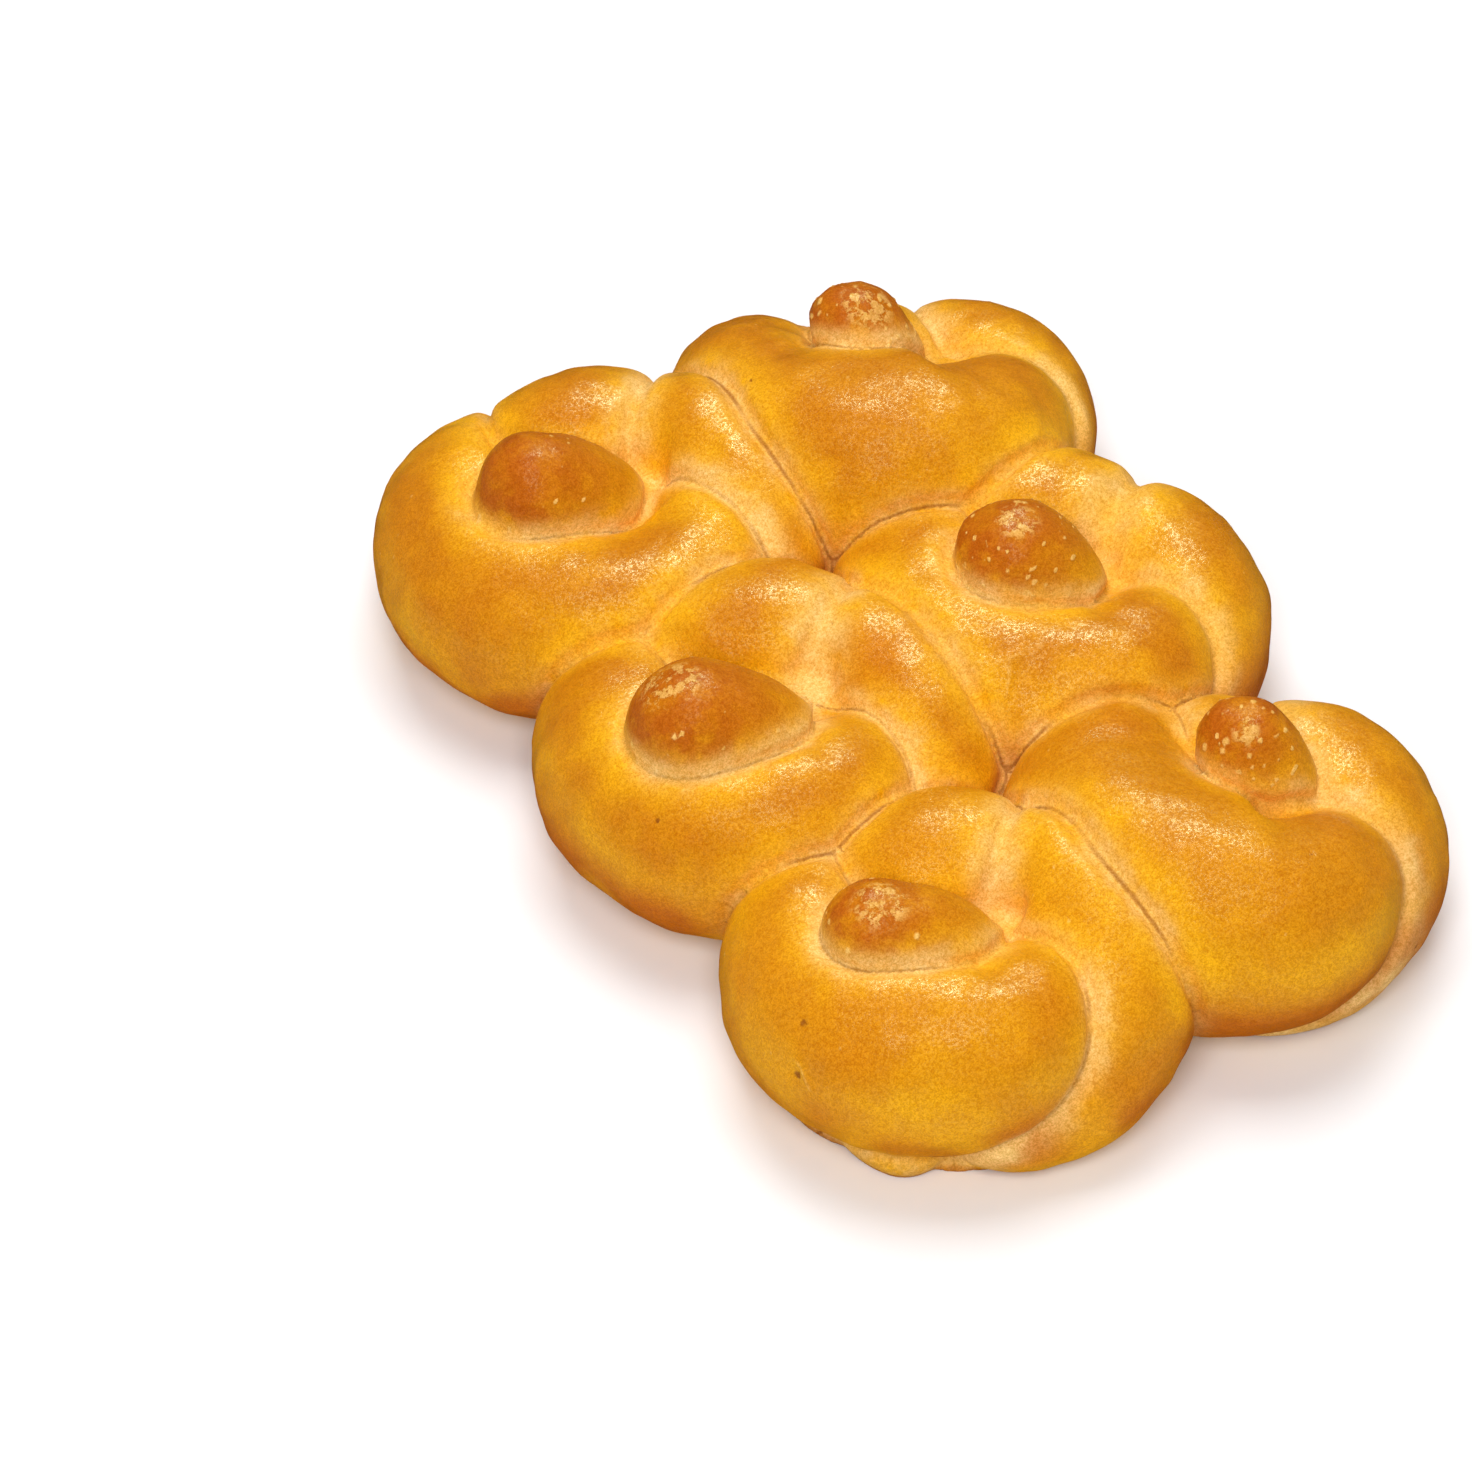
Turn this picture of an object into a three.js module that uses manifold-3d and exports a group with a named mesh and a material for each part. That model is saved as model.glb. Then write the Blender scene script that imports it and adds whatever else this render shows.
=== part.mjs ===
// Six knotted bread rolls that rose into each other on one tray and come off it as one piece, two wide and
// three long. Each roll is one rope of dough tied in a loose knot. From above it shows three passes of the rope
// round the middle. The rope's thick free end comes up through the middle as a knob, and its other end is tucked
// below and can show as a foot.
// Millimetres, +Z up. The origin is on the tray, under the middle of the batch. +Y runs along the three rows.
import * as THREE from "three";
import { mergeVertices } from "three/addons/utils/BufferGeometryUtils.js";
import Module from "manifold-3d";

// Driving dimensions of the batch.
const PITCH_X = 72; // between the two columns of rolls
const PITCH_Y = 76; // between the rows
const LIE = -31.5; // degrees by which a roll's own left-right line is turned from +X

// The rope's visible passes, each a row of stations along its middle line, from tip to tip.
// A station is [angle in degrees round the roll's middle, distance from it, height, half thickness].
const FRONT_PASS = [
  [112, 26, 10, 9],
  [124, 30, 15, 13],
  [144, 33, 20, 17],
  [170, 33, 22, 19.5],
  [202, 32, 23, 20.5],
  [235, 28, 24, 21.5],
  [268, 25, 25, 21],
  [292, 24, 26, 19.5],
  [313, 20, 27, 17],
  [332, 14, 25, 14],
  [352, 6, 21, 11],
];
const SIDE_PASS = [
  [-112, 22, 8, 7],
  [-95, 27, 9, 10],
  [-70, 31, 11, 13],
  [-46, 32.5, 14, 15.5],
  [-22, 32, 19, 18.5],
  [4, 31, 23, 20],
  [30, 29, 25, 19],
  [52, 25, 26, 17],
  [68, 20, 25.5, 15],
  [82, 14, 22, 11],
];
const BACK_PASS = [
  [4, 10, 22, 8.5],
  [34, 18, 24, 13.8],
  [66, 23, 26.5, 17.4],
  [98, 24, 27, 19.5],
  [126, 25, 25, 18],
  [148, 24, 22, 14],
  [166, 22, 18, 9],
];
// The knob is laid out from where it comes up, along its own direction: [distance out, height, half thickness].
const KNOB = [
  [-6, 24, 7],
  [1, 33, 9],
  [11, 38, 11],
  [22, 41, 12],
  [32, 42, 11.5],
  [41, 41, 9],
];
const FOOT = [
  [-140, 26, 5, 7],
  [-129, 30, 6, 10],
  [-118, 32, 6, 10.5],
  [-107, 32, 6, 10],
  [-96, 28, 5, 7],
];
const CORE = { reach: 38, height: 35, below: 10 }; // the dough under the passes
const WEB = { reach: 26, height: 25, below: 10 }; // the dough where four rolls meet
const SOLE = { reach: 45, depth: 37, height: 12, below: 12 }; // the dough that settled on the tray under a roll
const MIDDLE = [-7, 5]; // a roll's middle, from its place in the grid

const AROUND = 20; // faces round a pass
const STATION_STEP = 6; // length of a face along a pass
const CAP_RINGS = 4; // rows of faces on a pass's rounded end
const DOME_FACES = { around: 20, up: 8 };
const SAMPLES = 400; // steps in which a pass's length is measured
const JOIN = 1e-4; // corners closer than this are one
const WIDE = 600; // side of the block that cuts the underside flat
const FLOOR_DEPTH = 60;

// One entry for each roll, with what sets it apart from a plain one, in millimetres and degrees:
// - drift moves its middle [right, back].
// - wrap and swell carry the front pass's end round and outwards, bulge pushes its front out, girth fattens it and
//   press pushes its left side in and fattens it. climb lifts its start over the back pass.
// - back pushes the back pass out, around turns the back and side passes, shoulder lifts the side pass's far end.
// - knob comes up at [right, back] of the roll's middle. It has a direction, a length and a girth against the
//   usual, and a rise at its tip.
const PLAIN = {
  drift: [0, 0],
  wrap: 0,
  swell: 0,
  bulge: 0,
  girth: 0,
  press: 0,
  climb: 0,
  back: 0,
  around: 0,
  shoulder: 0,
  foot: false,
};
const ROLLS = [
  {
    column: 0, row: 0, shoulder: 4, foot: true,
    knob: { at: [3, -6], turn: 180, length: 0.82, girth: 1.08, rise: 0 },
  },
  {
    column: 0, row: 1, wrap: 3, bulge: 4, girth: 1, back: 2, shoulder: 3,
    knob: { at: [2, -11], turn: 190, length: 0.86, girth: 1.3, rise: 6 },
  },
  {
    column: 0, row: 2, drift: [2, 0], wrap: 34, bulge: 5, around: 4, shoulder: 5,
    knob: { at: [0, -1], turn: 199, length: 0.76, girth: 1.2, rise: 4 },
  },
  {
    column: 1, row: 0, drift: [-4, 0], wrap: 8, swell: 8, girth: 5, press: 9, climb: 7, back: -5, shoulder: -3,
    knob: { at: [14, 2], turn: 144, length: 0.54, girth: 0.94, rise: 6 },
  },
  {
    column: 1, row: 1, wrap: 14, swell: 6, girth: 1, press: 5, climb: 5, back: 2,
    knob: { at: [4, -3], turn: 172, length: 0.62, girth: 1.26, rise: 6 },
  },
  {
    column: 1, row: 2, drift: [4, 0], wrap: 30, swell: 8, bulge: -2, girth: 8, press: 2, climb: -4,
    back: -10, shoulder: -5,
    knob: { at: [3, 4], turn: 160, length: 0.52, girth: 0.96, rise: 7 },
  },
].map((roll) => ({ ...PLAIN, ...roll }));

const wasm = await Module();
wasm.setup();

const radians = THREE.MathUtils.degToRad;

// Smooth value between numbers a, b, c and d, where u goes from 0 at b to 1 at c.
function between(a, b, c, d, u) {
  const bend = 2 * a - 5 * b + 4 * c - d;
  const turn = -a + 3 * b - 3 * c + d;
  return b + 0.5 * u * (c - a + u * (bend + u * turn));
}

// A pass of the rope: a smooth line through stations [x, y, z, half thickness].
class PassCurve extends THREE.Curve {
  constructor(stations) {
    super();
    this.stations = stations;
  }
  at(t) {
    const last = this.stations.length - 1;
    const place = Math.min(t, 1) * last;
    const i = Math.min(Math.floor(place), last - 1);
    const pick = (k) => this.stations[THREE.MathUtils.clamp(k, 0, last)];
    return this.stations[0].map((_, n) =>
      between(pick(i - 1)[n], pick(i)[n], pick(i + 1)[n], pick(i + 2)[n], place - i),
    );
  }
  getPoint(t, target = new THREE.Vector3()) {
    const [x, y, z] = this.at(t);
    return target.set(x, y, z);
  }
  thicknessAt(u) {
    return this.at(this.getUtoTmapping(u))[3];
  }
}

// A closed shape as a solid that can be joined and cut.
function solidOf(geometry) {
  geometry.deleteAttribute("normal");
  geometry.deleteAttribute("uv");
  const merged = mergeVertices(geometry, JOIN);
  return new wasm.Manifold(
    new wasm.Mesh({
      numProp: 3,
      vertProperties: merged.attributes.position.array,
      triVerts: new Uint32Array(merged.index.array),
    }),
  );
}

// A capsule bent along the pass and as thick as its stations say.
function passSolid(stations) {
  const curve = new PassCurve(stations);
  curve.arcLengthDivisions = SAMPLES;
  const length = curve.getLength();
  const middle = stations[Math.floor(stations.length / 2)][3];
  const straight = Math.max(length / middle - 2, 0.2);
  const along = Math.max(Math.round((straight * middle) / STATION_STEP), 2);
  const geometry = new THREE.CapsuleGeometry(1, straight, CAP_RINGS, AROUND, along);
  const frames = curve.computeFrenetFrames(SAMPLES, false);
  const place = geometry.attributes.position;
  const v = new THREE.Vector3();
  for (let i = 0; i < place.count; i++) {
    v.fromBufferAttribute(place, i);
    const u = THREE.MathUtils.clamp(v.y / (straight + 2) + 0.5, 0, 1);
    const k = Math.round(u * SAMPLES);
    const point = curve.getPointAt(u);
    const half = curve.thicknessAt(u);
    point.addScaledVector(frames.normals[k], v.z * half);
    point.addScaledVector(frames.binormals[k], v.x * half);
    place.setXYZ(i, point.x, point.y, point.z);
  }
  return solidOf(geometry);
}

// A point [right, back] of a roll, turned into the batch's own directions.
const placed = (right, back) => new THREE.Vector2(right, back).rotateAround(new THREE.Vector2(), radians(LIE));

// The front pass of one roll. end, start, middle and side say how much of a change each station takes.
function frontPass({ wrap, swell, bulge, girth, press, climb }) {
  return FRONT_PASS.map(([angle, ring, height, half], i) => {
    const along = i / (FRONT_PASS.length - 1);
    const end = THREE.MathUtils.smoothstep(along, 0.45, 0.85);
    const start = 1 - THREE.MathUtils.smoothstep(along, 0, 0.35);
    const middle = 1 - THREE.MathUtils.smoothstep(Math.abs(along - 0.6), 0, 0.4);
    const side = 1 - THREE.MathUtils.smoothstep(Math.abs(along - 0.33), 0, 0.3);
    return [
      angle + wrap * end - 2 * climb * start,
      ring + swell * end + (bulge - 0.4 * girth) * middle - press * side,
      height + climb * start + 0.3 * girth * middle,
      half + girth * middle + 0.4 * climb * start + 0.5 * press * side,
    ];
  });
}

// The side pass of one roll, whose far end turns and rises.
function sidePass({ around, shoulder }) {
  return SIDE_PASS.map(([angle, ring, height, half], i) => {
    const end = i / (SIDE_PASS.length - 1);
    return [angle + around * end, ring, height + shoulder * end, half + 0.5 * shoulder * end];
  });
}

// The back pass of one roll. Where the front pass climbs over it, its end stops short and sinks.
function backPass({ back, around, climb }) {
  return BACK_PASS.map(([angle, ring, height, half], i) => {
    const end = i / (BACK_PASS.length - 1);
    const turn = around - 2.5 * climb * end;
    return [angle + turn, ring + back, height + 0.4 * back - 0.8 * climb * end, half + 0.25 * back];
  });
}

// A dome of dough on the tray, going down below the tray so that it can be cut flat. Its reach is half its width
// along the roll's left-right line, and its depth half its size across it.
function domeSolid(x, y, { reach, depth = reach, height, below }) {
  const geometry = new THREE.SphereGeometry(1, DOME_FACES.around, DOME_FACES.up);
  geometry.rotateX(Math.PI / 2);
  geometry.scale(reach, depth, (height + below) / 2);
  geometry.rotateZ(radians(LIE));
  geometry.translate(x, y, (height - below) / 2);
  return solidOf(geometry);
}

// Everything one roll is made of, in its place in the batch.
function rollSolids(roll) {
  const middle = placed(MIDDLE[0] + roll.drift[0], MIDDLE[1] + roll.drift[1]);
  middle.x += (roll.column - 0.5) * PITCH_X;
  middle.y += (roll.row - 1) * PITCH_Y;
  const ringed = (stations) =>
    stations.map(([angle, ring, height, half]) => {
      const a = radians(angle + LIE);
      return [middle.x + ring * Math.cos(a), middle.y + ring * Math.sin(a), height, half];
    });
  const { at, turn, length, girth, rise } = roll.knob;
  const root = placed(...at).add(middle);
  const out = radians(turn + LIE);
  const knob = KNOB.map(([distance, height, half], i) => [
    root.x + distance * length * Math.cos(out),
    root.y + distance * length * Math.sin(out),
    height + (rise * i) / (KNOB.length - 1),
    half * girth,
  ]);
  const core = domeSolid(middle.x, middle.y, { ...CORE, height: CORE.height + rise / 2 });
  const passes = [ringed(frontPass(roll)), ringed(sidePass(roll)), ringed(backPass(roll)), knob];
  if (roll.foot) passes.push(ringed(FOOT));
  return [...passes.map(passSolid), core, domeSolid(middle.x, middle.y, SOLE)];
}

const parts = ROLLS.flatMap(rollSolids);
for (const row of [0.5, 1.5]) parts.push(domeSolid(0, (row - 1) * PITCH_Y, WEB));
const tray = new THREE.BoxGeometry(WIDE, WIDE, FLOOR_DEPTH).translate(0, 0, -FLOOR_DEPTH / 2);
const flat = parts.reduce((whole, part) => whole.add(part)).subtract(solidOf(tray));
const { min, max } = flat.boundingBox();
const dough = flat.translate([-(min[0] + max[0]) / 2, -(min[1] + max[1]) / 2, 0]);

const mesh = dough.getMesh();
const geometry = new THREE.BufferGeometry();
geometry.setAttribute("position", new THREE.BufferAttribute(mesh.vertProperties, 3));
geometry.setIndex(new THREE.BufferAttribute(mesh.triVerts, 1));
geometry.computeVertexNormals();

const crust = new THREE.MeshStandardMaterial({ color: 0xd98a2b, roughness: 0.45, metalness: 0 });
const bread = new THREE.Mesh(geometry, crust);
bread.name = "knotted_rolls";

const batch = new THREE.Group();
batch.add(bread);
export default batch;
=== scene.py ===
"""Six knotted bread rolls baked into one pull-apart slab, on a pale studio floor."""

import math

import bpy
import numpy as np
from bpy.props import FloatProperty, FloatVectorProperty, IntProperty, PointerProperty
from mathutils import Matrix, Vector, noise


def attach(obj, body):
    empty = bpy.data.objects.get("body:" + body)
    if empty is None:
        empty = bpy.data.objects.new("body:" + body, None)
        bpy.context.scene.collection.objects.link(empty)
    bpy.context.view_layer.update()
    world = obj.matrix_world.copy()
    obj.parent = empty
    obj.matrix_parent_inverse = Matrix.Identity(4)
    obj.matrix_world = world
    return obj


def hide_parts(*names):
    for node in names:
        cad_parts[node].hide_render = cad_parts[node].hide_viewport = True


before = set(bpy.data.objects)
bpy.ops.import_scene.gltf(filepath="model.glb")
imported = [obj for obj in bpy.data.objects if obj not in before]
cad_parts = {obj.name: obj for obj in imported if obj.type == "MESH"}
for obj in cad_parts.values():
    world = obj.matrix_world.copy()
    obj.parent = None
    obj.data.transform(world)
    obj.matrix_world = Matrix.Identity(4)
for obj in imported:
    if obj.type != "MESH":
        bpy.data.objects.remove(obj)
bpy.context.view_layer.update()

bl_info = {
    "name": "Knotted roll slab",
    "version": (1, 0, 0),
    "blender": (4, 5, 0),
    "location": "View3D > Sidebar > Bakery",
    "description": "Bakes a slab of six knotted rolls and sets the studio round it",
    "category": "Add Mesh",
}

MM = 0.001

# The batch, in millimetres and degrees. A roll's own right and back are turned by LIE from +X and +Y.
LIE = -31.5
MIDDLE = (-7.0, 5.0)  # a roll's middle, from its place in the grid
CENTRING = (5.39, -6.621)  # moves the batch so that the middle of its box is over the origin
ROLL_REACH = 78.0  # no part of a roll shows further than this from its middle
KNOB_REACH = 34.0  # the same for a knob, from its own middle
FAR = 99.0  # stands for a distance that was not measured

# The rope's passes, as [angle round the roll's middle, distance from it, height, half thickness].
FRONT_PASS = [
    (112, 26, 10, 9),
    (124, 30, 15, 13),
    (144, 33, 20, 17),
    (170, 33, 22, 19.5),
    (202, 32, 23, 20.5),
    (235, 28, 24, 21.5),
    (268, 25, 25, 21),
    (292, 24, 26, 19.5),
    (313, 20, 27, 17),
    (332, 14, 25, 14),
    (352, 6, 21, 11),
]
SIDE_PASS = [
    (-112, 22, 8, 7),
    (-95, 27, 9, 10),
    (-70, 31, 11, 13),
    (-46, 32.5, 14, 15.5),
    (-22, 32, 19, 18.5),
    (4, 31, 23, 20),
    (30, 29, 25, 19),
    (52, 25, 26, 17),
    (68, 20, 25.5, 15),
    (82, 14, 22, 11),
]
BACK_PASS = [
    (4, 10, 22, 8.5),
    (34, 18, 24, 13.8),
    (66, 23, 26.5, 17.4),
    (98, 24, 27, 19.5),
    (126, 25, 25, 18),
    (148, 24, 22, 14),
    (166, 22, 18, 9),
]
# The knob, as [distance out along its own direction, height, half thickness].
KNOB = [(-6, 24, 7), (1, 33, 9), (11, 38, 11), (22, 41, 12), (32, 42, 11.5), (41, 41, 9)]
# The tucked end of the rope that shows as a foot, as the passes are.
FOOT = [(-140, 26, 5, 7), (-129, 30, 6, 10), (-118, 32, 6, 10.5), (-107, 32, 6, 10), (-96, 28, 5, 7)]
CORE = (38.0, 35.0, 10.0)  # reach, height and depth below the tray of the dough under the passes
WEB = (26.0, 25.0, 10.0)  # the same for the dough where four rolls meet
SOLE = (45.0, 37.0, 12.0)  # half width, half depth and height of the dough that settled on the tray

# Which pass lies over which, from the one tucked below all.
RANK = {"foot": 0, "side": 1, "front": 2, "back": 3, "knob": 4}

# The dough beside a seam that stayed pale, by the two passes that meet there: its share, and its width in
# millimetres on the tucked side and on the lap. Last comes how much of the seam gets a dark line of painted
# crease shade.
SEAMS = {
    ("side", "front"): (0.85, 3.6, 1.8, 0.6),
    ("side", "back"): (0.65, 4.5, 5.0, 0.1),
    ("front", "back"): (0.35, 3.5, 2.5, 0.5),
    ("front", "knob"): (0.9, 2.4, 6.0, 0.55),
    ("back", "knob"): (0.3, 3.5, 2.0, 0.8),
    ("side", "knob"): (0.8, 3.0, 6.0, 0.4),
}
KISS = (0.5, 2.6, 3.2, 0.8)  # the same where two rolls meet
# The groove along a seam between two passes, and between two rolls: share of the seam depth, and half width.
PASS_GROOVE = (1.0, 1.2)
KISS_GROOVE = (1.3, 1.5)
MARK_REACH = 30.0  # a seam further off than this doesn't matter to the crust
SOFTENING = 9  # rounds of softening, for the pale bands and for how brown each roll is

# How finely a rope is drawn.
CURVE_STEPS = 24  # points between two stations
LINE_STEP = 1.2  # mean distance between the points that are kept
LEAST_POINTS = 12
TIP_SHARE = 0.12  # the spine ends where the rounding of a tip has come this far
TIP_HALF = 0.05  # half thickness at the very tip
TRAY = (1.0, 1.0, 0.1)  # in metres

# Slow swells in the crust: share, swells to the millimetre, and a shift that sets them apart.
SWELLS = ((1.0, 0.06, 3.1), (0.5, 0.17, 9.7))
# Small relief, in millimetres, and how many blisters and specks there are, with their least and largest size.
BLISTERS = (230, 0.5, 1.1)
BLISTER_RISE = 0.35
SPECKS = (120, 0.5, 1.0)
SPECK_RISE = 0.15
PIT_DEPTH = 0.6
FOLD_RISE = 0.35
FOLD_WIDTH = 0.9

# Pits that scorched, as x, y, z and size.
PITS = [
    (-77.8, -80.4, 39.1, 1.0),
    (-82.3, -85.3, 29.9, 1.2),
    (-34.5, -106.4, 43.5, 0.7),
    (-75.7, -17.2, 41.3, 0.8),
    (-14.3, 10.0, 44.8, 0.9),
    (25.8, -26.3, 46.5, 0.9),
    (57.8, -115.7, 15.6, 1.0),
    (34.7, -104.4, 49.6, 0.7),
    (7.7, 80.0, 49.5, 0.7),
]
# Places painted darker brown, partly where the crust browned more and partly as painted shade, as x, y, z,
# size and share.
BROWNED_AND_SHADED = [
    (-66.6, -18.8, 25.0, 14.0, 0.9),
    (-77.3, -3.1, 14.0, 13.0, 1.0),
    (-74.3, 59.6, 25.0, 14.0, 0.9),
    (-77.1, 86.6, 22.0, 13.0, 0.8),
    (26.2, -43.9, 44.0, 11.0, 0.7),
    (58.2, -106.2, 30.0, 11.0, 0.8),
    (46.8, -93.6, 42.0, 9.0, 0.5),
    (-8.1, -2.1, 44.0, 9.0, 0.7),
    (-69.1, -91.3, 32.0, 10.0, 0.5),
    (-30.1, -106.3, 38.0, 8.0, 0.5),
    (-68.0, 37.7, 24.0, 10.0, 0.4),
    (17.2, 74.3, 40.0, 12.0, 0.5),
]
# Folds in the skin, as rows of points.
FOLDS = [
    [(6.0, -16.9, 45.2), (11.0, -20.2, 46.0), (15.4, -20.9, 46.8), (21.3, -21.9, 47.2)],
    [(12.8, -21.0, 46.4), (10.2, -24.2, 44.3), (8.0, -26.5, 41.5)],
    [(-81.5, -84.1, 33.0), (-81.5, -87.7, 30.2), (-81.4, -89.9, 28.4)],
]
DENT = (13.0, -26.0, 43.5, 9.0, 1.8)  # x, y, z, size and depth of a shallow dent

# A plain roll, in millimetres and degrees. Each roll below names what sets it apart.
PLAIN = dict(
    drift=(0, 0),  # how far right and back of its place it rose
    wrap=0,  # how much further round the front pass goes at its end
    swell=0,  # how far out that end stands
    bulge=0,  # how far out the middle of the front pass stands
    girth=0,  # how much thicker that middle is
    press=0,  # how far in its left part is pressed, which makes it thicker
    climb=0,  # how far its start climbs over the back pass
    back=0,  # how far out the back pass stands
    around=0,  # how far round the side and back passes are turned
    shoulder=0,  # how much higher the side pass ends
    foot=False,  # whether the rope's tucked end shows
    lip=1,  # how wide the pale band is on the tucked side of a seam
    dots=1,  # how many blisters the knob has
    flaky=(0.6, 0, 6),  # the rough patch on the knob: the share of the way along, how far left, and its size
    baked=1,  # how brown the crests are
)
# Spot is a roll's column and row, and knob the knob's place, direction, length, girth and rise.
ROLLS = [
    dict(
        PLAIN,
        spot=(0, 0),
        shoulder=4,
        foot=True,
        knob=((3, -6), 180, 0.82, 1.08, 0),
        dots=0.2,
        flaky=(0.64, 1, 6),
        baked=0.8,
    ),
    dict(
        PLAIN,
        spot=(0, 1),
        wrap=3,
        bulge=4,
        girth=1,
        back=2,
        shoulder=3,
        knob=((2, -11), 190, 0.86, 1.3, 6),
        dots=0.25,
        flaky=(0.72, -2, 6.5),
    ),
    dict(
        PLAIN,
        spot=(0, 2),
        drift=(2, 0),
        wrap=34,
        bulge=5,
        around=4,
        shoulder=5,
        knob=((0, -1), 199, 0.76, 1.2, 4),
        dots=0.22,
        flaky=(0, 0, 0.1),
    ),
    dict(
        PLAIN,
        spot=(1, 0),
        drift=(-4, 0),
        wrap=8,
        swell=8,
        girth=5,
        press=9,
        climb=7,
        back=-5,
        shoulder=-3,
        knob=((14, 2), 144, 0.54, 0.94, 6),
        lip=1.9,
        dots=1.8,
        flaky=(0.45, 5, 3),
        baked=0.85,
    ),
    dict(
        PLAIN,
        spot=(1, 1),
        wrap=14,
        swell=6,
        girth=1,
        press=5,
        climb=5,
        back=2,
        knob=((4, -3), 172, 0.62, 1.26, 6),
        lip=1.2,
        dots=1.6,
        flaky=(0.5, 0, 5),
    ),
    dict(
        PLAIN,
        spot=(1, 2),
        drift=(4, 0),
        wrap=30,
        swell=8,
        bulge=-2,
        girth=8,
        press=2,
        climb=-4,
        back=-10,
        shoulder=-5,
        knob=((3, 4), 160, 0.52, 0.96, 7),
        dots=1.6,
        flaky=(0.4, 1, 6),
    ),
]

# The lamps: azimuth and elevation, width and height in metres, watts and tint. The softboxes light the scene
# and leave no glint, and the glint lamps only put the glints on the egg wash.
LAMP_DISTANCE = 1.2
WHITE = (1, 1, 1)
GLINT = (0.75, 1, 0.62)
SOFTBOXES = {
    "top_softbox": ((155, 72), (0.8, 0.8), 10.2, WHITE),
    "front_softbox": ((-39, 50), (0.5, 0.5), 7.4, WHITE),
}
GLINT_LAMPS = {
    "back_glint_lamp": ((141, 50), (0.22, 0.17), 12.0, GLINT),
    "front_glint_lamp": ((-39, 70), (0.22, 0.22), 3.5, GLINT),
}
LAMP_AIM = (0, 0, 0.03)
AIR_LIGHT = 0.34
FLOOR_SIZE = 30

# The camera: azimuth and elevation, distance in metres, aim, and focal length in the picture's pixels.
CAMERA_VIEW = (-31.5, 48)
CAMERA_DISTANCE = 1.45
CAMERA_AIM = (-0.0383, 0.01107, 0.02)
CAMERA_REACH = 100
FOCAL_PIXELS = 6500
PICTURE_PIXELS = 1472
SENSOR_MM = 36


class SlabSizes(bpy.types.PropertyGroup):
    """Sizes of the slab that a baker would change."""

    pitch_x: FloatProperty(
        name="Column pitch", description="Between the two columns", default=0.072, unit="LENGTH"
    )
    pitch_y: FloatProperty(name="Row pitch", description="Between the rows", default=0.076, unit="LENGTH")
    crumb_step: FloatProperty(
        name="Skin detail", description="Size of the skin's smallest facet", default=0.00112, unit="LENGTH"
    )
    seam_depth: FloatProperty(
        name="Seam depth",
        description="How deep the line between two passes is",
        default=0.0013,
        unit="LENGTH",
    )
    unevenness: FloatProperty(
        name="Unevenness", description="Height of the slow swells in the crust", default=0.0007, unit="LENGTH"
    )
    seed: IntProperty(name="Seed", description="Where blisters and specks fall", default=7, min=0)


def colour(name, description, default):
    """A colour that the panel shows."""
    return FloatVectorProperty(
        name=name, description=description, default=default, subtype="COLOR", size=3, min=0, max=1
    )


class CrustColours(bpy.types.PropertyGroup):
    """Colours of the crust, from the palest seam to the darkest knob."""

    gold: colour("Gold", "The sides, which brown last", (0.82, 0.385, 0.004))
    brown: colour("Brown", "The crests under the egg wash", (0.58, 0.195, 0.003))
    # Flank is darker brown low on the sides, partly browning and partly painted shade.
    flank_and_shade: colour("Flank", "Patches low on the sides", (0.54, 0.14, 0.003))
    cream: colour("Cream", "Dough that a seam kept from browning", (0.88, 0.56, 0.18))
    knob: colour("Knob", "The knobs, which stand nearest the heat", (0.46, 0.105, 0.003))
    blister: colour("Blister", "Pale blisters on the knobs", (0.85, 0.50, 0.12))
    # This colours the scorched pits, and the dark line painted in each seam as crease shade.
    scorch_and_seam_shade: colour("Scorch", "Pits and the line in each seam", (0.26, 0.07, 0.006))
    floor: colour("Floor", "The studio floor", (0.93, 0.93, 0.94))


def deselect():
    """Leave no object selected, whatever the mode."""
    if bpy.context.object and bpy.context.object.mode != "OBJECT":
        bpy.ops.object.mode_set(mode="OBJECT")
    bpy.ops.object.select_all(action="DESELECT")


def pick(objects):
    """Select these objects alone, with the first one active."""
    deselect()
    for obj in objects:
        obj.select_set(True)
    bpy.context.view_layer.objects.active = objects[0]


def smoothstep(x, low, high):
    """A smooth step from 0 at low to 1 at high."""
    t = np.clip((x - low) / (high - low), 0, 1)
    return t * t * (3 - 2 * t)


def placed(right, back):
    """A roll's own right and back as x and y."""
    a = math.radians(LIE)
    return np.array((right * math.cos(a) - back * math.sin(a), right * math.sin(a) + back * math.cos(a)))


def front_pass(roll):
    """The stations of a roll's front pass. Where one lies along it says how much of each change it takes."""
    out = roll["bulge"] - 0.4 * roll["girth"]
    made = []
    for i, (angle, ring, height, half) in enumerate(FRONT_PASS):
        along = i / (len(FRONT_PASS) - 1)
        end = smoothstep(along, 0.45, 0.85)
        start = 1 - smoothstep(along, 0, 0.35)
        middle = 1 - smoothstep(abs(along - 0.6), 0, 0.4)
        side = 1 - smoothstep(abs(along - 0.33), 0, 0.3)
        made.append(
            (
                angle + roll["wrap"] * end - 2 * roll["climb"] * start,
                ring + roll["swell"] * end + out * middle - roll["press"] * side,
                height + roll["climb"] * start + 0.3 * roll["girth"] * middle,
                half + roll["girth"] * middle + 0.4 * roll["climb"] * start + 0.5 * roll["press"] * side,
            )
        )
    return made


def side_pass(roll):
    """The stations of a roll's side pass."""
    made = []
    for i, (angle, ring, height, half) in enumerate(SIDE_PASS):
        end = i / (len(SIDE_PASS) - 1)
        lift = roll["shoulder"] * end
        made.append((angle + roll["around"] * end, ring, height + lift, half + 0.5 * lift))
    return made


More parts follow.
